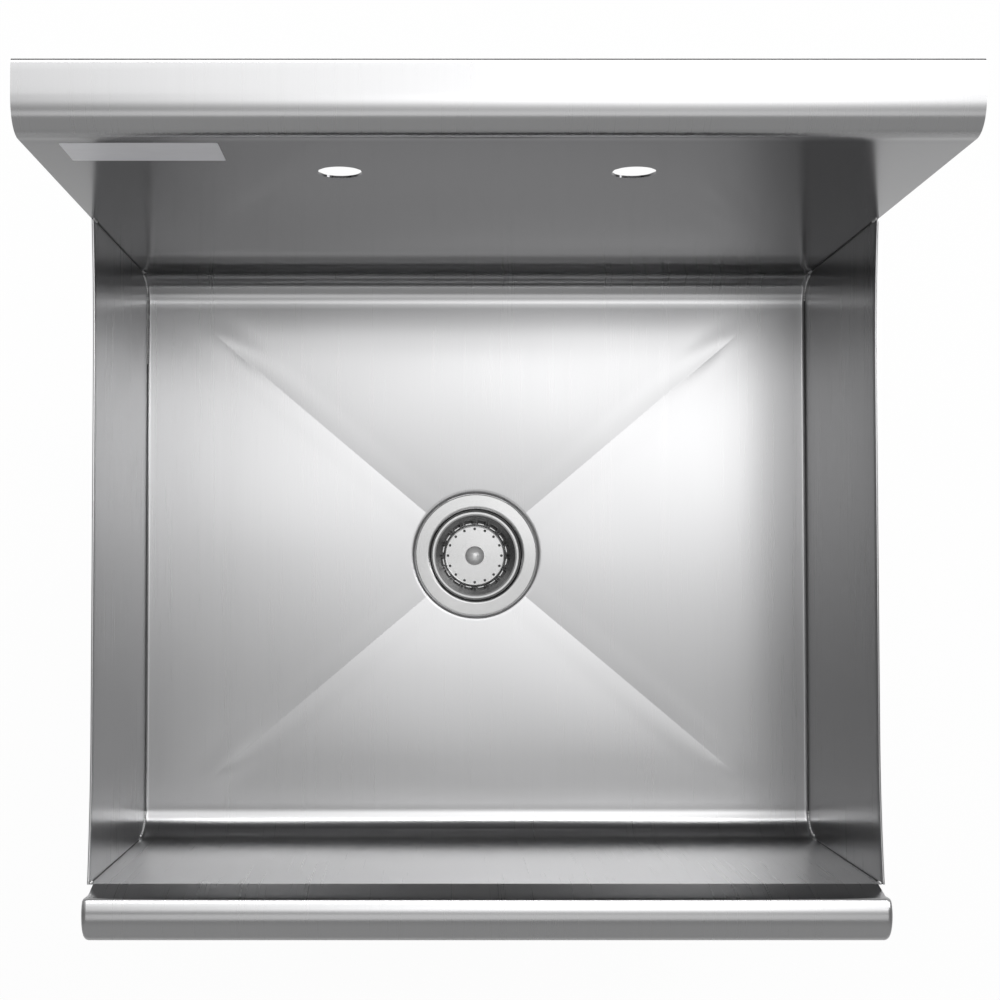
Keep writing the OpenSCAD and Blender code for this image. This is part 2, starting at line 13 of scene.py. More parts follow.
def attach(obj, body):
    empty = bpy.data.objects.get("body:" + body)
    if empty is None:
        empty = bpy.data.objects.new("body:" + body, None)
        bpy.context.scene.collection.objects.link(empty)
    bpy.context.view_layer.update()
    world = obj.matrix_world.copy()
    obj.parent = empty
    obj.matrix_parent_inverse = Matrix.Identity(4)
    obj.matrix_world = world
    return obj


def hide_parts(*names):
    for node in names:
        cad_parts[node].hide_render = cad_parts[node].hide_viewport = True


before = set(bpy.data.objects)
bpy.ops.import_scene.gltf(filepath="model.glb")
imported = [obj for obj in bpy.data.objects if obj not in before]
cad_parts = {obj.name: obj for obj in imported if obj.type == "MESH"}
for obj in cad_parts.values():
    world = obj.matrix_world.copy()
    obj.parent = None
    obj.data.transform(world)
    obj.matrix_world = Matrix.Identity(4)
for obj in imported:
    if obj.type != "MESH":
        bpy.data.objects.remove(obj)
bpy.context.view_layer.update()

# ---- sizes of the sheet, as the frame has them ----
BOWL_Y = -0.003          # the bowl's middle, front to back
HALF_W = 0.3048          # inside half width
HALF_L = 0.2576          # inside half length
SHEET_T = 0.0016
RIM_Z = 0.711
FLOOR_Z = 0.466
COVE_R = 0.025           # where the floor turns up to the front and back
COVE_TOP = FLOOR_Z + COVE_R
FLAT_Y = HALF_L - COVE_R
CREASE_X, CREASE_Y = 0.229, 0.193
CREASE_FALL = 0.010
RECESS_FALL = 0.001
HOLE_R = 0.046
LEDGE_Z = 0.965
LEDGE_D = 0.0465
HEM_R = 0.0035
HEM_H = 0.022
ROLL_R = 0.017
ROLL_OUT, ROLL_UP = 0.0235, 0.0117
ROLL_END = 250           # degrees
ROLL_CAP_R = 0.004
ROLL_HALF_W = HALF_W + SHEET_T - ROLL_CAP_R
LIP_R = 0.004            # bend between the front wall and the leaning strip
TAP_X, TAP_SPACING, TAP_Z, TAP_R = -0.0036, 0.2032, 0.859, 0.0159
PANEL_DIP, PANEL_RISE, PANEL_SWEEP = 0.004, 0.005, 0.115
CORNER_WELD_H = 0.012

# ---- sizes that the scene alone has, or has finer than the frame ----
SIDE_R = 0.003           # where the floor turns up to the side panels
FLAT_X = HALF_W - SIDE_R
RECESS_IN, RECESS_OUT = 0.0569, 0.0590   # foot and head of the step round the drain
BEND_CROWN_R, BEND_TILT = 0.0336, 20     # flatter start of the splash's bend, and the degrees it takes
BEND_R = 0.019                           # the rest of the splash's bend
CROWN_R, CROWN_TILT = 0.021, 29          # flatter top of the front roll behind its crest, and its degrees
SHOULDER_R = 0.005                       # bend from the leaning strip into the crown
CREST_BACK = 0.0045                      # how far behind the roll's middle its crest lies
FLOOR_WAVE, PANEL_WAVE = 0.00028, 0.0003   # unevenness of the sheet
CALM_EDGE = 0.05         # how far from its bends the sheet has its full unevenness
TAP_PATCH = 0.026        # half width of the patch of faces round a tap hole
SEAM_INSET = 0.0002      # how far a seam's line stands in from the panels and the back wall
SEAM_POINTS = 10         # points of a floor seam in each cove

# ---- the floor's folds, in shares of the way from the drain to a fold's end ----
FOOT_SHARP, FOOT_SOFT = 0.03, 0.10       # softness of the slope's foot at a fold, and what is added beside it
FOOT_SPREAD = 0.16                       # how far beside a fold the foot has all its softness
SLOPE_END = 1.19                         # where the last of the slope has died out
FOLD_DEPTH = 0.0003                      # metres that the folds are pressed deeper at their outer ends
FOLD_HALF_W = 0.12
TIP_START, TIP_FULL = 0.55, 0.95         # where the deeper pressing begins and has its depth
TIP_LEAVE, TIP_END = 0.975, 1.045        # where it rises again and ends

# ---- how fine the meshes are ----
SAME_POINT = 1e-6        # points this near each other are one
LEAST_STEP = 0.0004      # rows or columns nearer to the one before are left out
OUTER_RINGS = 46         # rings of faces from the drain's recess out to the floor's edge
RING_CROWDING = 1.12     # over 1 puts those rings closer together near the drain
SHEET_SHARP, SHELL_SHARP = 40, 50        # degrees over which an edge of a sheet or a solid stays sharp

# ---- where the finishes and the painted shade change ----
WALL_SHADE_FOOT = (COVE_TOP - 0.005, COVE_TOP + 0.008)    # heights between which the back wall's painted shade begins
WALL_SHADE_HEAD = (LEDGE_Z - 0.029, LEDGE_Z - 0.010)      # and ends
TONE_EDGE = 0.0004       # soft edge between turned steel and the painted shade inside it


# ---- shader expressions ----
class Value:
    """A socket that takes part in Python expressions."""

    def __init__(self, tree, socket):
        self.tree = tree
        self.socket = socket

    def _math(self, operation, first, second):
        return self.tree.node("ShaderNodeMath", {"operation": operation}, [first, second])

    def __add__(self, other):
        return self._math("ADD", self, other)

    __radd__ = __add__

    def __sub__(self, other):
        return self._math("SUBTRACT", self, other)

    def __rsub__(self, other):
        return self._math("SUBTRACT", other, self)

    def __mul__(self, other):
        return self._math("MULTIPLY", self, other)

    __rmul__ = __mul__

    def __gt__(self, other):
        return self._math("GREATER_THAN", self, other)

    def smooth(self, low, high):
        """0 below low, 1 above high and a smooth step between."""
        return self.tree.node("ShaderNodeMapRange", {"interpolation_type": "SMOOTHSTEP"},
                              {"Value": self, "From Min": low, "From Max": high})

    def around(self, middle, change):
        """Turns a value that lies round 0.5 into one that lies round middle."""
        return (self - 0.5) * change + middle


def layers(*pairs):
    """Adds up noises by their weights, into one that lies round 0.5 as each of them does."""
    parts = [(value - 0.5) * weight for value, weight in pairs]
    total = parts[0]
    for part in parts[1:]:
        total = total + part
    return total + 0.5


class Tree:
    """The node tree of one material, light or world."""

    def __init__(self, owner):
        owner.use_nodes = True
        self.nodes = owner.node_tree.nodes
        self.links = owner.node_tree.links
        self.nodes.clear()

    def node(self, kind, settings=None, values=None, out=0):
        """Adds a node, its settings first, then its sockets' values or links. Returns one output."""
        made = self.nodes.new(kind)
        for name, setting in (settings or {}).items():
            if name == "stops":
                self._ramp(made.color_ramp, setting)
            else:
                setattr(made, name, setting)
        pairs = values.items() if isinstance(values, dict) else enumerate(values or [])
        for name, value in pairs:
            socket = made.inputs[name]
            if isinstance(value, Value):
                self.links.new(value.socket, socket)
            else:
                socket.default_value = value
        return Value(self, made.outputs[out]) if made.outputs else None

    @staticmethod
    def _ramp(ramp, stops):
        ramp.elements[0].position, ramp.elements[1].position = stops[0][0], stops[-1][0]
        for place, _ in stops[1:-1]:
            ramp.elements.new(place)
        for element, (_, grey) in zip(ramp.elements, stops):
            element.color = (grey, grey, grey, 1)

    def split(self, vector):
        """The three parts of a vector."""
        parts = self.node("ShaderNodeSeparateXYZ", {}, [vector]).socket.node
        return [Value(self, parts.outputs[axis]) for axis in "XYZ"]

    def place(self, scale=(1, 1, 1), location=(0, 0, 0)):
        """Object coordinates, scaled per axis."""
        spot = self.node("ShaderNodeTexCoord", out="Object")
        return self.node("ShaderNodeMapping", {}, {"Vector": spot, "Scale": scale, "Location": location})

    def noise(self, scale, detail=2.0, roughness=0.5, location=(0, 0, 0)):
        """Noise from 0 to 1 whose scale per axis is in cycles per metre."""
        return self.node("ShaderNodeTexNoise", {}, {
            "Vector": self.place(scale, location), "Scale": 1.0, "Detail": detail, "Roughness": roughness})

    def mix(self, share, first, second):
        """A colour that runs from first to second as share goes from 0 to 1."""
        return self.node("ShaderNodeMix", {"data_type": "RGBA"},
                         {"Factor": share, 6: first, 7: second}, out=2)

    def grey(self, base, change, value):
        """A colour that runs from base minus change to base plus change as value goes from 0 to 1."""
        low = [max(0.0, c - change) for c in base] + [1]
        high = [min(1.0, c + change) for c in base] + [1]
        return self.mix(value, low, high)

    def bump(self, height, distance):
        return self.node("ShaderNodeBump", {}, {"Height": height, "Distance": distance})

    def principled(self, values):
        shader = self.node("ShaderNodeBsdfPrincipled", {}, values)
        self.node("ShaderNodeOutputMaterial", {}, {"Surface": shader})


# ---- finishes ----
def back_wall_shade_share(tree):
    """Where the back wall's painted shade lies: 1 on the upright back wall and 0 on the floor, the coves, the
    ledge and the front.
    """
    _, y, z = tree.split(tree.node("ShaderNodeTexCoord", out="Object"))
    return (y > 0) * z.smooth(*WALL_SHADE_FOOT) * (1 - z.smooth(*WALL_SHADE_HEAD))


def brushed_steel(name, base, along, across, turn=0.0, wall=None):
    """Stainless sheet with grain. along and across are cycles per metre per axis for slow and fine streaks.

    turn is the turn of the stretched reflections, in whole turns. wall, where it differs, is a darker colour
    painted on the upright back wall as painted shade; that wall is smoother too.
    """
    material = bpy.data.materials.new(name)
    tree = Tree(material)
    fine = tree.noise(across, detail=2.0, roughness=0.6)
    broad = tree.noise(along, detail=3.0, roughness=0.55, location=(3.1, 1.7, 0.4))
    cloud = tree.noise((7, 7, 7), location=(9.2, 4.4, 2.6))
    mark = layers((fine, 0.55), (broad, 0.45), (cloud, 0.25))
    colour = tree.grey(base, 0.02, mark)
    rough = mark.around(0.28, 0.05)
    if wall:
        # painted shade: the upright back wall takes a darker colour in place of its dark reflections
        painted_shade_on_wall = back_wall_shade_share(tree)
        colour = tree.mix(painted_shade_on_wall, colour, tree.grey(wall, 0.006, mark))
        rough = rough - painted_shade_on_wall * 0.15
    tree.principled({
        "Base Color": colour,
        "Metallic": 1.0,
        "Roughness": rough,
        "Anisotropic": 0.71,
        "Anisotropic Rotation": turn,
        "Normal": tree.bump(fine * 0.7 + broad * 0.3, 0.0000015),
    })
    return material


def turned_steel(name, base, inside, reach, anisotropy=0.7):
    """Polished steel with fine rings round the drain's axis. inside is a darker colour painted between
    reach's radii, as painted shade in the hollow.
    """
    material = bpy.data.materials.new(name)
    tree = Tree(material)
    radius = tree.node("ShaderNodeVectorMath", {"operation": "LENGTH"},
                       [tree.place((1, 1, 0), (0, -BOWL_Y, 0))], out="Value")
    rings = tree.node("ShaderNodeTexNoise", {"noise_dimensions": "1D"}, {
        "W": radius, "Scale": 2600.0, "Detail": 2.0})
    cloud = tree.noise((60, 60, 60))
    mark = layers((rings, 0.6), (cloud, 0.3))
    near, far = reach
    # share is where the painted shade lies, between reach's radii
    share = radius.smooth(near - TONE_EDGE, near) * (1 - radius.smooth(far, far + TONE_EDGE))
    tree.principled({
        "Base Color": tree.mix(share, tree.grey(base, 0.05, mark), tree.grey(inside, 0.03, mark)),
        "Metallic": 1.0,
        "Roughness": mark.around(0.22, 0.12),
        "Anisotropic": anisotropy,
        "Anisotropic Rotation": 0.25,
        "Normal": tree.bump(rings, 0.00002),
    })
    return material


def satin_metal(name, base, roughness, grain, metallic=1.0):
    """Metal of tubes, castings and the knob, with light marks. The knob's near-white colour is a painted
    reflection.
    """
    material = bpy.data.materials.new(name)
    tree = Tree(material)
    marks = tree.noise(grain)
    cloud = tree.noise((40, 40, 40), detail=3.0)
    mark = layers((marks, 0.5), (cloud, 0.5))
    tree.principled({
        "Base Color": tree.grey(base, 0.05, mark),
        "Metallic": metallic,
        "Roughness": mark.around(roughness, 0.2),
        "Normal": tree.bump(marks, 0.00003),
    })
    return material


def plain_finish(name, base, roughness):
    """Rubber, fibre and moulded plastic."""
    material = bpy.data.materials.new(name)
    tree = Tree(material)
    marks = tree.noise((400, 400, 400), detail=3.0)
    tree.principled({
        "Base Color": tree.grey(base, 0.03, marks),
        "Roughness": marks.around(roughness, 0.15),
        "Normal": tree.bump(marks, 0.00005),
    })
    return material


def weld_metal(name, base, roughness):
    """Metal of the welds and of the seams: rougher than the sheet, with short marks."""
    material = bpy.data.materials.new(name)
    tree = Tree(material)
    marks = tree.noise((900, 900, 900), detail=3.0, roughness=0.6)
    tint = tree.noise((60, 60, 60))
    tree.principled({
        "Base Color": tree.grey(base, 0.12, marks * 0.6 + tint * 0.4),
        "Metallic": 1.0,
        "Roughness": marks.around(roughness, 0.3),
        "Normal": tree.bump(marks, 0.00012),
    })
    return material


def label_foil(name, base):
    """Blank silvery label, a little uneven where it was rubbed down."""
    material = bpy.data.materials.new(name)
    tree = Tree(material)
    rub = tree.noise((60, 60, 240), detail=3.0)
    tree.principled({
        "Base Color": tree.grey(base, 0.04, rub),
        "Metallic": 0.1,
        "Roughness": rub.around(0.42, 0.2),
        "Normal": tree.bump(rub, 0.00004),
    })
    return material


# the wall colour is painted shade on the upright back wall; the sheet is one steel
sheet_steel = brushed_steel("sheet_steel", (0.50, 0.50, 0.505), (180, 2.5, 2.5), (1700, 9, 9),
                            wall=(0.19, 0.19, 0.195))
panel_grain = {"along": (2.5, 3, 160), "across": (9, 9, 1500), "turn": 0.25}
left_steel = brushed_steel("left_steel", (0.52, 0.52, 0.525), **panel_grain)
# painted shade: the right panel is the same steel as the left, given a darker colour where it lies in shade
right_steel_painted_shade = brushed_steel("right_steel_painted_shade", (0.36, 0.36, 0.365), **panel_grain)
# inside is painted shade: the strainer's throat and the basket's wall are darkened where shade falls
strainer_steel = turned_steel("strainer_steel", (0.42, 0.42, 0.42), inside=(0.10, 0.10, 0.10),
                              reach=(0, 0.0425))
basket_steel = turned_steel("basket_steel", (0.42, 0.42, 0.42), inside=(0.17, 0.17, 0.17),
                            reach=(0.0312, 0.0385), anisotropy=0.3)
# painted reflection: the chrome knob gets a near-white, little metallic colour in place of its bright
# reflections
knob_painted_reflection = satin_metal("knob_painted_reflection", (0.96, 0.96, 0.96), 0.3, (300, 300, 300), metallic=0.3)
tube_steel = satin_metal("tube_steel", (0.58, 0.58, 0.59), 0.32, (900, 900, 12))
cast_metal = satin_metal("cast_metal", (0.50, 0.50, 0.50), 0.45, (500, 500, 500))
plated_metal = satin_metal("plated_metal", (0.62, 0.62, 0.61), 0.2, (300, 300, 300))
screw_metal = satin_metal("screw_metal", (0.10, 0.10, 0.105), 0.4, (900, 900, 900))
weld_steel = weld_metal("weld_steel", (0.70, 0.70, 0.70), 0.42)
seam_steel = weld_metal("seam_steel", (0.12, 0.12, 0.12), 0.55)
black_rubber = plain_finish("black_rubber", (0.03, 0.03, 0.03), 0.6)
pressed_fibre = plain_finish("pressed_fibre", (0.42, 0.32, 0.2), 0.8)
white_plastic = plain_finish("white_plastic", (0.72, 0.72, 0.70), 0.45)
blank_foil = label_foil("blank_foil", (0.84, 0.84, 0.87))


# ---- mesh helpers ----
def ramp(value, low, high):
    """0 at low, 1 at high, straight between them and level past them. high may be below low."""
    return min(1, max(0, (value - low) / (high - low)))


def ease(share):
    """Rounds both ends of a ramp."""
    return share * share * (3 - 2 * share)


def arc(middle, radius, start, end, steps):
    """Points (y, z) on a circle between two angles in degrees."""
    turn = np.radians(np.linspace(start, end, steps + 1))
    return np.stack([middle[0] + radius * np.cos(turn), middle[1] + radius * np.sin(turn)], 1)


def line(start, end, steps):
    share = np.linspace(0, 1, steps + 1)[:, None]
    return np.array(start) * (1 - share) + np.array(end) * share


def join_paths(*paths):
    """One path out of several that follow each other end to start."""
    return np.concatenate([paths[0]] + [p[1:] for p in paths[1:]])


def sweep(path, columns):
    """Grid of points from a (y, z) path drawn along X."""
    return [[(x, y, z) for x in columns] for y, z in path]


def add_object(name, data):
    """A new object in the scene."""
    made = bpy.data.objects.new(name, data)
    bpy.context.scene.collection.objects.link(made)
    return made


class Surface:
    """Gathers grids of points that share their edges into one mesh."""

    def __init__(self):
        self.points = []
        self.faces = []

    def add(self, grid, facing, leave_out=None):
        """Adds a grid of points. facing says which way the first face of its middle row looks."""
        grid = np.asarray(grid, float)
        rows, columns = grid.shape[:2]
        first = len(self.points)
        self.points += [tuple(p) for p in grid.reshape(-1, 3)]
        middle = rows // 2 - 1 if rows > 2 else 0
        a, b, c = grid[middle, 0], grid[middle, 1], grid[middle + 1, 0]
        flip = np.cross(b - a, c - a) @ np.asarray(facing, float) < 0
        for r in range(rows - 1):
            for k in range(columns - 1):
                if leave_out is not None and leave_out[r, k]:
                    continue
                quad = [first + r * columns + k, first + r * columns + k + 1,
                        first + (r + 1) * columns + k + 1, first + (r + 1) * columns + k]
                self.faces.append(quad[::-1] if flip else quad)

    def build(self, name, material):
        mesh = bpy.data.meshes.new(name)
        mesh.from_pydata([(x, y + BOWL_Y, z) for x, y, z in self.points], [], self.faces)
        model = bmesh.new()
        model.from_mesh(mesh)
        bmesh.ops.remove_doubles(model, verts=model.verts, dist=SAME_POINT)
        model.to_mesh(mesh)
        model.free()
        mesh.materials.append(material)
        return add_object(name, mesh)


def smooth_faces(mesh, sharp=None):
    """Smooth faces, with sharp edges over an angle in degrees."""
    mesh.shade_smooth()
    if sharp is not None:
        mesh.set_sharp_from_angle(angle=math.radians(sharp))


def close_shell(mesh):
    """Clears faces of no size from a closed mesh, turns the others outwards and smooths them."""
    model = bmesh.new()
    model.from_mesh(mesh)
    bmesh.ops.dissolve_degenerate(model, edges=model.edges, dist=SAME_POINT)
    bmesh.ops.recalc_face_normals(model, faces=model.faces)
    model.to_mesh(mesh)
    model.free()
    smooth_faces(mesh, SHELL_SHARP)


def bake(piece, sharp=None):
    """Applies a piece's modifiers and smooths its faces."""
    piece.data.update()
    evaluated = piece.evaluated_get(bpy.context.evaluated_depsgraph_get())
    mesh = bpy.data.meshes.new_from_object(evaluated)
    old = piece.data
    piece.modifiers.clear()
    piece.data = mesh
    mesh.name = piece.name
    bpy.data.meshes.remove(old)
    smooth_faces(mesh, sharp)
    return piece


def thicken(piece, even):
    """Gives a sheet its thickness behind the face that was modelled. even keeps it full at the bends."""
    wall = piece.modifiers.new("wall", "SOLIDIFY")
    wall.thickness = SHEET_T
    wall.offset = -1
    wall.use_even_offset = even


def grain_direction(piece, across_x):
    """Sets which way reflections stretch, by a texture space whose middle lies far off to one side."""
    piece.data.use_auto_texspace = False
    piece.data.texspace_location = (0, -1000, 0) if across_x else (-1000, 0, 0)
    piece.data.texspace_size = (1, 1, 1)


# ---- the bent sheet ----
def wave(x, y, seed, size, depth):
    """Slow unevenness of the sheet."""
    return depth * noise.noise(Vector((x / size, y / size, seed)))


def crease_depth(x, y):
    """Depth of the creased floor at a place measured from the drain."""
    across, along = abs(x) / CREASE_X, abs(y) / CREASE_Y
    reach = max(across, along)
    beside = abs(across - along)
    rise = 1 - reach
    softness = FOOT_SHARP + FOOT_SOFT * ease(ramp(beside, 0, FOOT_SPREAD))
    slope = 0.5 * (rise + math.sqrt(rise * rise + softness ** 2))
    tip = ramp(reach, TIP_START, TIP_FULL) * ramp(reach, TIP_END, TIP_LEAVE)
    fold = FOLD_DEPTH * tip * ramp(beside, FOLD_HALF_W, 0) ** 2
    return CREASE_FALL * slope * ease(ramp(reach, SLOPE_END, 1)) + fold


def floor_height(x, y):
    """Height of the floor at a place measured from the drain, with the recess round the drain."""
    free = ramp(min(FLAT_X - abs(x), FLAT_Y - abs(y)), 0, CALM_EDGE)
    sheet = wave(x, y, seed=0.3, size=0.11, depth=FLOOR_WAVE) * free - crease_depth(x, y)
    seat = -CREASE_FALL - RECESS_FALL
    step = ease(ramp(math.hypot(x, y), RECESS_IN, RECESS_OUT))
    return FLOOR_Z + seat + (sheet - seat) * step


def spread(half, steps, extra):
    """Even places from -half to half with the extra ones, and their mirrors, added."""
    places = np.concatenate([np.linspace(-half, half, steps + 1), extra, -np.asarray(extra)])
    places = np.unique(np.round(places, 7))
    keep = [places[0]]
    for place in places[1:]:
        fixed = np.min(np.abs(np.abs(place) - extra)) < SAME_POINT or abs(abs(place) - half) < SAME_POINT
        if place - keep[-1] > LEAST_STEP or fixed:
            keep.append(place)
    return np.array(keep)


# A fold, drawn on, meets the floor's front or back edge at FOLD_X. A narrow column on both sides of it
# keeps the fold crisp. EXTRA_ROW is one row more in front of the drain and one behind it.
FOLD_X = FLAT_Y * CREASE_X / CREASE_Y
FOLD_COLUMN = 0.0009
EXTRA_ROW = 0.1
COLUMNS = spread(FLAT_X, 110, np.array([FOLD_X - FOLD_COLUMN, FOLD_X, FOLD_X + FOLD_COLUMN]))
ROWS = spread(FLAT_Y, 90, np.array([EXTRA_ROW]))


def radial_grid(loop, radii, height):
    """Points on circles round the drain and, past the last, on rings out to a closed loop of (x, y)."""
    loop = np.asarray(loop)
    turn = np.arctan2(loop[:, 1], loop[:, 0])
    circle = np.stack([np.cos(turn), np.sin(turn)], 1)
    grid = [circle * radius for radius in radii]
    start = grid[-1]
    for k in range(1, OUTER_RINGS + 1):
        share = (k / OUTER_RINGS) ** RING_CROWDING
        grid.append(start * (1 - share) + loop * share)
    return [[(x, y, height(x, y)) for x, y in ring] for ring in grid]


def floor_loop():
    """Points along the flat floor's edge, counter-clockwise and closed."""
    loop = [(x, -FLAT_Y) for x in COLUMNS] + [(FLAT_X, y) for y in ROWS[1:]]
    loop += [(x, FLAT_Y) for x in COLUMNS[::-1][1:]] + [(-FLAT_X, y) for y in ROWS[::-1][1:]]
    return loop


def back_path():
    """Inside of the back wall, the splash, its bend, the ledge and the edge turned down."""
    tilt = math.radians(BEND_TILT)
    bend_h = BEND_R * math.cos(tilt) + BEND_CROWN_R * (1 - math.cos(tilt))
    bend = (HALF_L + BEND_R, LEDGE_Z - bend_h)
    crown = (bend[0] + (BEND_CROWN_R - BEND_R) * math.sin(tilt), LEDGE_Z - BEND_CROWN_R)
    back = HALF_L + LEDGE_D
    return join_paths(
        line((HALF_L, COVE_TOP), (HALF_L, bend[1]), 30),
        arc(bend, BEND_R, 180, 90 + BEND_TILT, 16),
        arc(crown, BEND_CROWN_R, 90 + BEND_TILT, 90, 8),
        line((crown[0], LEDGE_Z), (back - HEM_R, LEDGE_Z), 4),
        arc((back - HEM_R, LEDGE_Z - HEM_R), HEM_R, 90, 0, 6),
        line((back, LEDGE_Z - HEM_R), (back, LEDGE_Z - HEM_H), 3),
    )


def front_wall_path():
    return line((-HALF_L, COVE_TOP), (-HALF_L, RIM_Z - LIP_R), 16)


def roll_arcs():
    """Middles of the roll's circle, its flatter crown and its shoulder, and the lean of the strip below."""
    middle = np.array([-HALF_L - ROLL_OUT, RIM_Z + ROLL_UP])
    crown = middle + (CREST_BACK, ROLL_R - CROWN_R)
    tilt = math.radians(CROWN_TILT)
    shoulder = crown + (CROWN_R - SHOULDER_R) * np.array([math.sin(tilt), math.cos(tilt)])
    reach = shoulder - (-HALF_L, RIM_Z)
    lean = math.atan2(-reach[0], reach[1]) - math.asin(SHOULDER_R / math.hypot(*reach))
    return middle, crown, shoulder, lean


def roll_nose(middle):
    """The front quarter of the roll, from its crest forward and down."""
    turn = np.radians(np.linspace(90, 180, 17))
    return np.stack([middle[0] + CREST_BACK + (ROLL_R + CREST_BACK) * np.cos(turn),
                     middle[1] + ROLL_R * np.sin(turn)], 1)


def roll_path():
    """The strip that leans out from the rim, its shoulder, the crown and the roll that they end in."""
    middle, crown, shoulder, lean = roll_arcs()
    hinge = np.array([-HALF_L, RIM_Z])
    away = np.array([-math.sin(lean), math.cos(lean)])
    strip_l = math.sqrt(math.hypot(*(shoulder - hinge)) ** 2 - SHOULDER_R ** 2)
    low = hinge - (0, LIP_R * math.tan(lean / 2))
    lean_deg = math.degrees(lean)
    rim_bend = arc(low + (-LIP_R, 0), LIP_R, 0, lean_deg, 5)
    return join_paths(
        line((-HALF_L, RIM_Z - LIP_R), low, 2),
        rim_bend,
        line(rim_bend[-1], hinge + away * strip_l, 4),
        arc(shoulder, SHOULDER_R, lean_deg, 90 - CROWN_TILT, 8),
        arc(crown, CROWN_R, 90 - CROWN_TILT, 90, 14),
        roll_nose(middle),
        arc(middle, ROLL_R, 180, ROLL_END, 14),
    )


def roll_cap(side):
    """Drawn cap on the roll's end: the roll's outline with a rounded edge and a flat face."""
    middle, crown, shoulder, _ = roll_arcs()
    edge = np.concatenate([
        arc(middle, ROLL_R, 180, 380, 100),
        roll_nose(middle),
        arc(crown, CROWN_R, 90 - CROWN_TILT, 90, 20),
        arc(shoulder, SHOULDER_R, -20, 90 - CROWN_TILT, 16),
    ])
    turn = np.radians(np.linspace(0, 360, 97))
    facing = np.stack([np.cos(turn), np.sin(turn)], 1)
    outline = edge[np.argmax(facing @ edge.T, 1)]
    hub = outline[:-1].mean(0)
    inner_x, outer_x = side * ROLL_HALF_W, side * (ROLL_HALF_W + ROLL_CAP_R)
    rings = [[(inner_x, y, z) for y, z in hub + (outline - hub) * share] for share in (0.0, 0.5)]
    for round_off in np.radians(np.linspace(0, 90, 7)):
        face = outline - facing * ROLL_CAP_R * (1 - math.cos(round_off))
        x = side * (ROLL_HALF_W + ROLL_CAP_R * math.sin(round_off))
        rings.append([(x, y, z) for y, z in face])
    rings += [[(outer_x, y, z) for y, z in hub + (face - hub) * share] for share in (0.5, 0.0)]
    surface = Surface()
    surface.add(rings, (0, 0, 0))
    piece = surface.build("roll_cap_right" if side > 0 else "roll_cap_left", sheet_steel)
    close_shell(piece.data)
    grain_direction(piece, True)
    return piece


def add_floor(surface):
    """The creased floor, with its circles of points closest on the step round the drain."""
    radii = [HOLE_R, 0.050, 0.054, RECESS_IN, 0.0573, 0.0577, 0.0580, 0.0583, 0.0587, RECESS_OUT,
             0.0612, 0.0635]
    surface.add(radial_grid(floor_loop(), radii, floor_height), (0, 0, 1))


def add_coves(surface, turn):
    """The coves at the front and back, and the four corners where they meet the side bends."""
    for end in (-1, 1):
        cove = [[(x, end * (FLAT_Y + COVE_R * math.sin(a)), FLOOR_Z + COVE_R * (1 - math.cos(a)))
                 for x in COLUMNS] for a in turn]
        surface.add(cove, (0, -end, 1))
        for side in (-1, 1):
            corner = []
            for a in turn:
                row = []
                for b in turn:
                    radius = COVE_R - SIDE_R * (1 - math.cos(b))
                    row.append((side * (FLAT_X + SIDE_R * math.sin(b)),
                                end * (FLAT_Y + radius * math.sin(a)),
                                FLOOR_Z + COVE_R - radius * math.cos(a)))
                corner.append(row)
            surface.add(corner, (-side, -end, 1))


def add_side_bends(surface, turn):
    for side in (-1, 1):
        bend = [[(side * (FLAT_X + SIDE_R * math.sin(b)), y, FLOOR_Z + SIDE_R * (1 - math.cos(b)))
                 for y in ROWS] for b in turn]
        surface.add(bend, (-side, 0, 1))


def add_splash(surface, columns, taps):
    """The back wall and splash, with a round hole for each tap."""
    path = back_path()
    rows = [k for k, (y, z) in enumerate(path)
            if abs(z - TAP_Z) <= TAP_PATCH and y < HALF_L + SAME_POINT]
    cells = np.zeros((len(path) - 1, len(columns) - 1), bool)
    for tap_x in taps:
        inside = [k for k, x in enumerate(columns) if abs(x - tap_x) <= TAP_PATCH]
        cells[rows[0]:rows[-1], inside[0]:inside[-1]] = True
        xs = columns[inside[0]:inside[-1] + 1]
        zs = path[rows[0]:rows[-1] + 1, 1]
        loop = [(x, zs[0]) for x in xs] + [(xs[-1], z) for z in zs[1:]]
        loop += [(x, zs[-1]) for x in xs[::-1][1:]] + [(xs[0], z) for z in zs[::-1][1:]]
        turn = np.arctan2(np.array(loop)[:, 1] - TAP_Z, np.array(loop)[:, 0] - tap_x)
        grid = []
        for share in (0, 0.05, 0.15, 0.35, 0.65, 1):
            grid.append([((tap_x + TAP_R * math.cos(t)) * (1 - share) + x * share, HALF_L,
                          (TAP_Z + TAP_R * math.sin(t)) * (1 - share) + z * share)
                         for t, (x, z) in zip(turn, loop)])
        surface.add(grid, (0, -1, 0))
    surface.add(sweep(path, columns), (0, -1, 0), cells)


def sheet_piece():
    """Floor, coves, side bends, splash, front wall and roll, as one bent and welded sheet."""
    surface = Surface()
    turn = np.radians(np.linspace(0, 90, 13))
    edge = np.array([HALF_W, HALF_W + SHEET_T])
    wide = np.concatenate([-edge[::-1], COLUMNS, edge])
    narrow = np.concatenate([[-ROLL_HALF_W], COLUMNS, [ROLL_HALF_W]])
    add_floor(surface)
    add_coves(surface, turn)
    add_side_bends(surface, turn)
    add_splash(surface, wide, [TAP_X - TAP_SPACING / 2, TAP_X + TAP_SPACING / 2])
    surface.add(sweep(front_wall_path(), wide), (0, 1, 0))
    surface.add(sweep(roll_path(), narrow), (0, 1, 0))
    piece = surface.build("bowl_sheet", sheet_steel)
    thicken(piece, even=True)
    bake(piece, SHEET_SHARP)
    grain_direction(piece, True)
    return piece


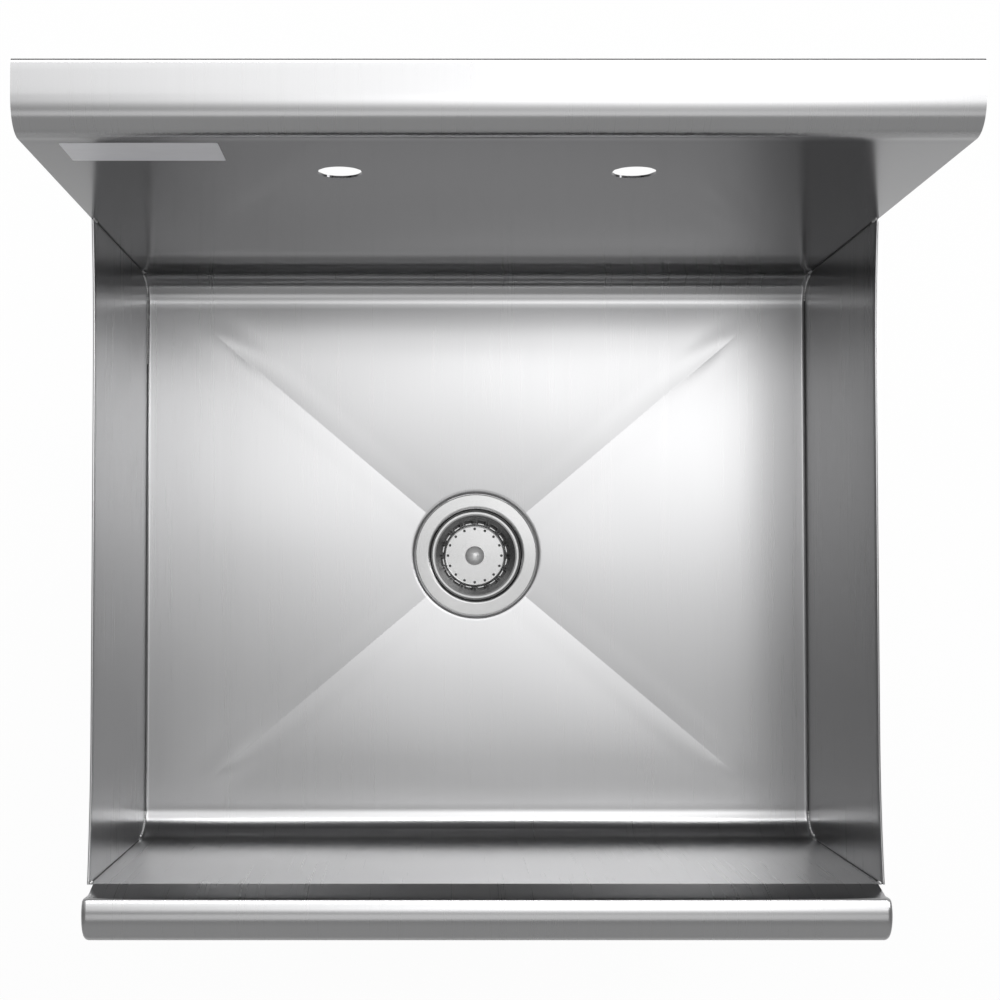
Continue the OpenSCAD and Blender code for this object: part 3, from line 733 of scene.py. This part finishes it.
# ---- side panels ----
def panel_top(y):
    """Height of the panel's top edge: level in the middle, swept up to both ends."""
    sweep_h = PANEL_DIP + PANEL_RISE
    radius = (PANEL_SWEEP ** 2 + sweep_h ** 2) / (2 * sweep_h)
    past = max(0.0, abs(y) - (HALF_L - PANEL_SWEEP))
    return RIM_Z - PANEL_DIP + radius - math.sqrt(radius ** 2 - past ** 2)


def panel_bottom(y):
    """Height of the panel's lower edge: along the side bend, and round the coves at both ends."""
    past = abs(y) - FLAT_Y
    if past <= 0:
        return FLOOR_Z + SIDE_R
    radius = COVE_R - SIDE_R
    if past >= radius:
        return COVE_TOP
    return COVE_TOP - math.sqrt(radius ** 2 - past ** 2)


def side_panel(side):
    """One side wall of the bowl. Its dents go inwards only, so that it stays in the frame's box."""
    calm_foot, calm_head = 0.15, 0.125   # shares of the height that are even
    round_ys = FLAT_Y + (COVE_R - SIDE_R) * np.sin(np.radians(np.arange(0, 91, 10)))
    ys = np.concatenate([np.linspace(-HALF_L, HALF_L, 91), round_ys, -round_ys])
    ys = np.unique(np.round(ys, 6))
    grid = []
    for share in np.linspace(0, 1, 29):
        row = []
        for y in ys:
            z = panel_bottom(y) * (1 - share) + panel_top(y) * share
            free = min(1, share / calm_foot, (HALF_L - abs(y)) / CALM_EDGE) * ramp(share, 1, 1 - calm_head)
            dent = (wave(y, z, seed=side * 2.7, size=0.13, depth=PANEL_WAVE) - PANEL_WAVE) * free
            row.append((side * (HALF_W + dent), y, z))
        grid.append(row)
    surface = Surface()
    surface.add(grid, (-side, 0, 0))
    name = "panel_right" if side > 0 else "panel_left"
    piece = surface.build(name, right_steel_painted_shade if side > 0 else left_steel)
    thicken(piece, even=False)
    rim = piece.modifiers.new("rim", "BEVEL")
    rim.width = 0.0004
    rim.segments = 2
    rim.limit_method = "ANGLE"
    rim.angle_limit = math.radians(60)
    bake(piece, SHEET_SHARP)
    grain_direction(piece, False)
    return piece


# ---- welds ----
CORNERS = [(side, end) for side in (-1, 1) for end in (-1, 1)]


def corner_weld_piece():
    """Fill from the rounded end of each side bend up to a point in the square corner."""
    points, faces = [], []
    turn = np.radians(np.linspace(0, 90, 13))
    for side, end in CORNERS:
        first = len(points)
        low = [(side * (FLAT_X + SIDE_R * math.sin(b)), end * (HALF_L - SIDE_R * (1 - math.cos(b))), COVE_TOP)
               for b in turn]
        points += low
        points += [(side * HALF_W, end * HALF_L, COVE_TOP + CORNER_WELD_H),
                   (side * HALF_W, end * HALF_L, COVE_TOP)]
        apex, root = first + len(low), first + len(low) + 1
        for k in range(len(low) - 1):
            faces.append((first + k, first + k + 1, apex))
            faces.append((first + k + 1, first + k, root))
        faces.append((first, apex, root))
        faces.append((first + len(low) - 1, root, apex))
    mesh = bpy.data.meshes.new("corner_fill")
    mesh.from_pydata([(x, y + BOWL_Y, z) for x, y, z in points], [], faces)
    close_shell(mesh)
    mesh.materials.append(weld_steel)
    return add_object("corner_fill", mesh)


def bead_tree(material):
    """Geometry Nodes that lay overlapping ripples of weld along an edge."""
    tree = bpy.data.node_groups.new("weld_bead", "GeometryNodeTree")
    face = tree.interface
    face.new_socket("Geometry", in_out="INPUT", socket_type="NodeSocketGeometry")
    for name, value in (("Spacing", 0.002), ("Width", 0.0011)):
        face.new_socket(name, in_out="INPUT", socket_type="NodeSocketFloat").default_value = value
    face.new_socket("Seed", in_out="INPUT", socket_type="NodeSocketInt").default_value = 3
    face.new_socket("Geometry", in_out="OUTPUT", socket_type="NodeSocketGeometry")

    def node(kind, links=None, **settings):
        made = tree.nodes.new(kind)
        for key, value in settings.items():
            setattr(made, key, value)
        for key, value in (links or {}).items():
            if isinstance(value, bpy.types.NodeSocket):
                tree.links.new(value, made.inputs[key])
            else:
                made.inputs[key].default_value = value
        return made

    into = node("NodeGroupInput").outputs
    curve = node("GeometryNodeMeshToCurve", {"Mesh": into["Geometry"]}).outputs[0]
    spots = node("GeometryNodeCurveToPoints", {"Curve": curve, "Length": into["Spacing"]},
                 mode="LENGTH").outputs
    ripple = node("GeometryNodeMeshIcoSphere", {"Radius": into["Width"], "Subdivisions": 2}).outputs[0]
    size = node("FunctionNodeRandomValue", {2: 0.75, 3: 1.2, "Seed": into["Seed"]},
                data_type="FLOAT").outputs[1]
    placed = node("GeometryNodeInstanceOnPoints", {"Points": spots[0], "Instance": ripple,
                                                   "Rotation": spots["Rotation"], "Scale": size}).outputs[0]
    solid = node("GeometryNodeRealizeInstances", {"Geometry": placed}).outputs[0]
    smooth = node("GeometryNodeSetShadeSmooth", {"Geometry": solid}).outputs[0]
    done = node("GeometryNodeSetMaterial", {"Geometry": smooth, "Material": material}).outputs[0]
    tree.links.new(done, node("NodeGroupOutput").inputs[0])
    return tree


def bead(name, runs, material, spacing, width):
    """A weld bead along each run of points."""
    mesh = bpy.data.meshes.new(name)
    points, edges = [], []
    for run in runs:
        first = len(points)
        points += [(x, y + BOWL_Y, z) for x, y, z in run]
        edges += [(first + k, first + k + 1) for k in range(len(run) - 1)]
    mesh.from_pydata(points, edges, [])
    piece = add_object(name, mesh)
    modifier = piece.modifiers.new("bead", "NODES")
    modifier.node_group = bead_tree(material)
    sizes = {"Spacing": spacing, "Width": width}
    for item in modifier.node_group.interface.items_tree:
        if item.in_out == "INPUT" and item.name in sizes:
            modifier[item.identifier] = sizes[item.name]
    return bake(piece)


def seam_line(name, runs, radius, material):
    """A thin closed joint line, round in section, along each run of points."""
    curve = bpy.data.curves.new(name, "CURVE")
    curve.dimensions = "3D"
    curve.bevel_depth = radius
    curve.bevel_resolution = 2
    curve.use_fill_caps = True
    for run in runs:
        spline = curve.splines.new("POLY")
        spline.points.add(len(run) - 1)
        for point, (x, y, z) in zip(spline.points, run):
            point.co = (x, y + BOWL_Y, z, 1)
    drawn = add_object(name + "_path", curve)
    mesh = bpy.data.meshes.new_from_object(drawn.evaluated_get(bpy.context.evaluated_depsgraph_get()))
    bpy.data.objects.remove(drawn)
    smooth_faces(mesh)
    mesh.materials.clear()
    mesh.materials.append(material)
    return add_object(name, mesh)


def floor_seam(side):
    """The joint between the turned-up side bend and the side panel, up the front and back coves."""
    inset = side * (HALF_W - SEAM_INSET)
    radius = COVE_R - SIDE_R
    turn = np.radians(np.linspace(90, 0, SEAM_POINTS))
    front = [(inset, -FLAT_Y - radius * math.sin(a), COVE_TOP - radius * math.cos(a)) for a in turn]
    back = [(inset, -y, z) for x, y, z in front[::-1]]
    return front + back


def corner_seam(side, end, low):
    """The upright joint between a side panel and the front or back wall, from a height up to the rim."""
    x, y = side * (HALF_W - SEAM_INSET), end * (HALF_L - SEAM_INSET)
    rim_gap = 0.001
    return [(x, y, low), (x, y, RIM_Z - rim_gap + (PANEL_RISE if end > 0 else 0))]


def bead_runs():
    """Where beads show: the rim's corners, the floor seams' ends, and a run on the left to the back cove."""
    rim_run, floor_run = 0.005, 0.055
    runs = [corner_seam(side, end, RIM_Z - rim_run) for side, end in CORNERS]
    runs += [floor_seam(side)[SEAM_POINTS + 1:] for side in (-1, 1)]
    runs += [floor_seam(side)[:SEAM_POINTS - 1] for side in (-1, 1)]
    cove_foot = floor_seam(-1)[SEAM_POINTS:SEAM_POINTS + 2]
    runs.append([(x, y - floor_run, z) for x, y, z in cove_foot] + cove_foot)
    return runs


def seam_runs():
    """The floor's seams, and the upright ones from just inside the top of the corner fill."""
    overlap = 0.001
    runs = [floor_seam(side) for side in (-1, 1)]
    return runs + [corner_seam(side, end, COVE_TOP + CORNER_WELD_H - overlap) for side, end in CORNERS]


# ---- label ----
def label_piece():
    """Blank label on the splash, with rounded corners."""
    x0, x1, z0, z1 = -0.2826, -0.1800, RIM_Z + 0.1805, RIM_Z + 0.2245
    corner, thickness, gap = 0.0015, 0.0002, 0.00002
    outline = []
    for cx, cz, start in ((x1 - corner, z1 - corner, 0), (x0 + corner, z1 - corner, 90),
                          (x0 + corner, z0 + corner, 180), (x1 - corner, z0 + corner, 270)):
        for a in np.radians(np.linspace(start, start + 90, 5)):
            outline.append((cx + corner * math.cos(a), cz + corner * math.sin(a)))
    back_y = HALF_L + BOWL_Y - gap
    model = bmesh.new()
    front = [model.verts.new((x, back_y - thickness, z)) for x, z in outline]
    back = [model.verts.new((x, back_y, z)) for x, z in outline]
    model.faces.new(front)
    model.faces.new(back[::-1])
    for k in range(len(front)):
        after = (k + 1) % len(front)
        model.faces.new((front[after], front[k], back[k], back[after]))
    bmesh.ops.recalc_face_normals(model, faces=model.faces)
    mesh = bpy.data.meshes.new("blank_label")
    model.to_mesh(mesh)
    model.free()
    mesh.materials.append(blank_foil)
    return add_object("blank_label", mesh)


# ---- finish of the nodes that stay ----
def dress(material, *names):
    """Gives nodes of the frame their finish."""
    for name in names:
        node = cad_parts[name]
        node.data.materials.clear()
        node.data.materials.append(material)


def all_four(stem):
    return [f"{stem}_{end}_{side}" for end in ("front", "back") for side in ("left", "right")]


dress(sheet_steel, "splash_end_cap_left", "splash_end_cap_right")
dress(strainer_steel, "strainer_body")
dress(basket_steel, "basket_cup", "basket_clip")
dress(knob_painted_reflection, "basket_knob_post")
dress(black_rubber, "strainer_seal", "basket_stopper")
dress(pressed_fibre, "friction_ring")
dress(plated_metal, "lock_nut", "tailpiece", "coupling_nut")
dress(white_plastic, "tailpiece_washer", *all_four("foot_insert"))
dress(tube_steel, *all_four("leg"), *all_four("leg_socket"))
dress(cast_metal, *all_four("foot"))
dress(screw_metal, "socket_screws")

# ---- pieces that take the place of nodes ----
sheet = sheet_piece()
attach(sheet, "sink")
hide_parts("body_sheet")
for side, end in ((-1, "left"), (1, "right")):
    for piece, node in ((side_panel(side), f"side_panel_{end}"), (roll_cap(side), f"roll_end_cap_{end}")):
        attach(piece, "sink")
        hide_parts(node)
fill = corner_weld_piece()
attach(fill, "sink")
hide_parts("corner_welds")

# ---- pieces that only the scene has ----
beads = bead("corner_beads", bead_runs(), weld_steel, spacing=0.0021, width=0.0012)
seams = seam_line("sheet_seams", seam_runs(), 0.0005, seam_steel)
for piece in (beads, seams):
    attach(piece, "sink")
label = label_piece()
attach(label, "sink")


# ---- floor, light and camera ----
def studio_floor():
    """Pale floor that shows nearly white to the camera and keeps a trace of the shadow."""
    half = 4.0
    mesh = bpy.data.meshes.new("studio_floor")
    ground = [(-half, -half, 0), (half, -half, 0), (half, half, 0), (-half, half, 0)]
    mesh.from_pydata(ground, [], [(0, 1, 2, 3)])
    material = bpy.data.materials.new("floor_white")
    tree = Tree(material)
    matte = tree.node("ShaderNodeBsdfDiffuse", {}, {"Color": (0.86, 0.86, 0.86, 1)})
    glow = tree.node("ShaderNodeEmission", {}, {"Color": (1, 1, 1, 1), "Strength": 1.0})
    share = tree.node("ShaderNodeLightPath", out="Is Camera Ray") * 0.96
    mixed = tree.node("ShaderNodeMixShader", {}, {0: share, 1: matte, 2: glow})
    tree.node("ShaderNodeOutputMaterial", {}, {"Surface": mixed})
    mesh.materials.append(material)
    add_object("studio_floor", mesh)


def softbox(name, place, faces, width, length, brightness, across=None, along=None):
    """Panel of light. Its width runs along X, or along Y where it faces X.

    across and along are the brightness from one side of the panel to the other, as (place, level) stops.
    """
    light = bpy.data.lights.new(name, "AREA")
    light.shape = "RECTANGLE"
    light.size = width
    light.size_y = length
    light.energy = math.pi * width * length * brightness
    if across or along:
        tree = Tree(light)
        x, y, _ = tree.split(tree.node("ShaderNodeNewGeometry", out="Parametric"))
        level = None
        for spot, stops in ((x, across), (y, along)):
            if stops:
                part = tree.node("ShaderNodeValToRGB", {"stops": stops}, [spot])
                level = part if level is None else level * part
        glow = tree.node("ShaderNodeEmission", {}, {"Color": level, "Strength": 1.0})
        tree.node("ShaderNodeOutputLight", {}, [glow])
    lamp = add_object(name, light)
    back = -Vector(faces).normalized()
    side = Vector((0, 1, 0)) if abs(back.x) > 0.5 else Vector((1, 0, 0))
    turn = Matrix((side, back.cross(side), back)).transposed().to_4x4()
    lamp.matrix_world = Matrix.Translation(place) @ turn
    lamp.visible_camera = False


def studio_world():
    """White backdrop to the camera and dim room light, darkest at the sides and overhead."""
    world = bpy.data.worlds.new("studio_world")
    bpy.context.scene.world = world
    tree = Tree(world)
    _, back, _ = tree.split(tree.node("ShaderNodeTexCoord", out="Generated"))
    stops = [(0.0, 0.42), (0.15, 0.42), (0.33, 0.25), (0.5, 0.21), (0.7, 0.35), (1.0, 0.5)]
    level = tree.node("ShaderNodeValToRGB", {"stops": stops}, [back * 0.5 + 0.5])
    glow = tree.node("ShaderNodeBackground", {}, {"Color": level, "Strength": 1.0})
    white = tree.node("ShaderNodeBackground", {}, {"Color": (1, 1, 1, 1), "Strength": 1.0})
    seen = tree.node("ShaderNodeLightPath", out="Is Camera Ray")
    tree.node("ShaderNodeOutputWorld", {}, {
        "Surface": tree.node("ShaderNodeMixShader", {}, {0: seen, 1: glow, 2: white})})


def camera():
    """The camera that was fitted to the photo: nearly straight above the sink, with a shifted picture."""
    lens = bpy.data.cameras.new("camera")
    lens.sensor_width = 36
    lens.lens = 59.11
    lens.shift_x = 0.0706
    lens.shift_y = 0.0274
    lens.clip_start = 0.05
    lens.clip_end = 30
    eye = add_object("camera", lens)
    eye.location = (-0.04338, -0.02836, 1.98504)
    eye.rotation_euler = (0.0333, 0, 0)
    bpy.context.scene.camera = eye


studio_floor()
studio_world()
softbox("overhead", (0.1, 0.15, 2.65), (0, 0, -1), 2.3, 1.2, 3.0,
        across=[(0, 0.14), (0.25, 0.36), (0.5, 0.85), (0.62, 1), (0.78, 0.9), (0.97, 0)],
        along=[(0, 0.15), (0.2, 0.29), (0.3, 0.4), (0.4, 0.59), (0.5, 0.86), (0.6, 1), (1, 0.85)])
softbox("overhead_front", (0.1, -0.8, 2.65), (0, 0, -1), 2.1, 0.7, 0.8)
softbox("overhead_back", (0, 1.1, 2.65), (0, 0, -1), 2.8, 0.7, 2.0,
        across=[(0, 0.5), (0.35, 0.66), (0.65, 1), (1, 1)])
softbox("back_high", (0, 1.85, 2.3), (0, -0.72, -0.69), 2.6, 0.9, 5.5)
softbox("side_right", (1.6, 0.65, 1.9), (-1, 0, 0), 0.7, 0.8, 6.0)
camera()
bpy.context.scene.view_settings.view_transform = "Standard"
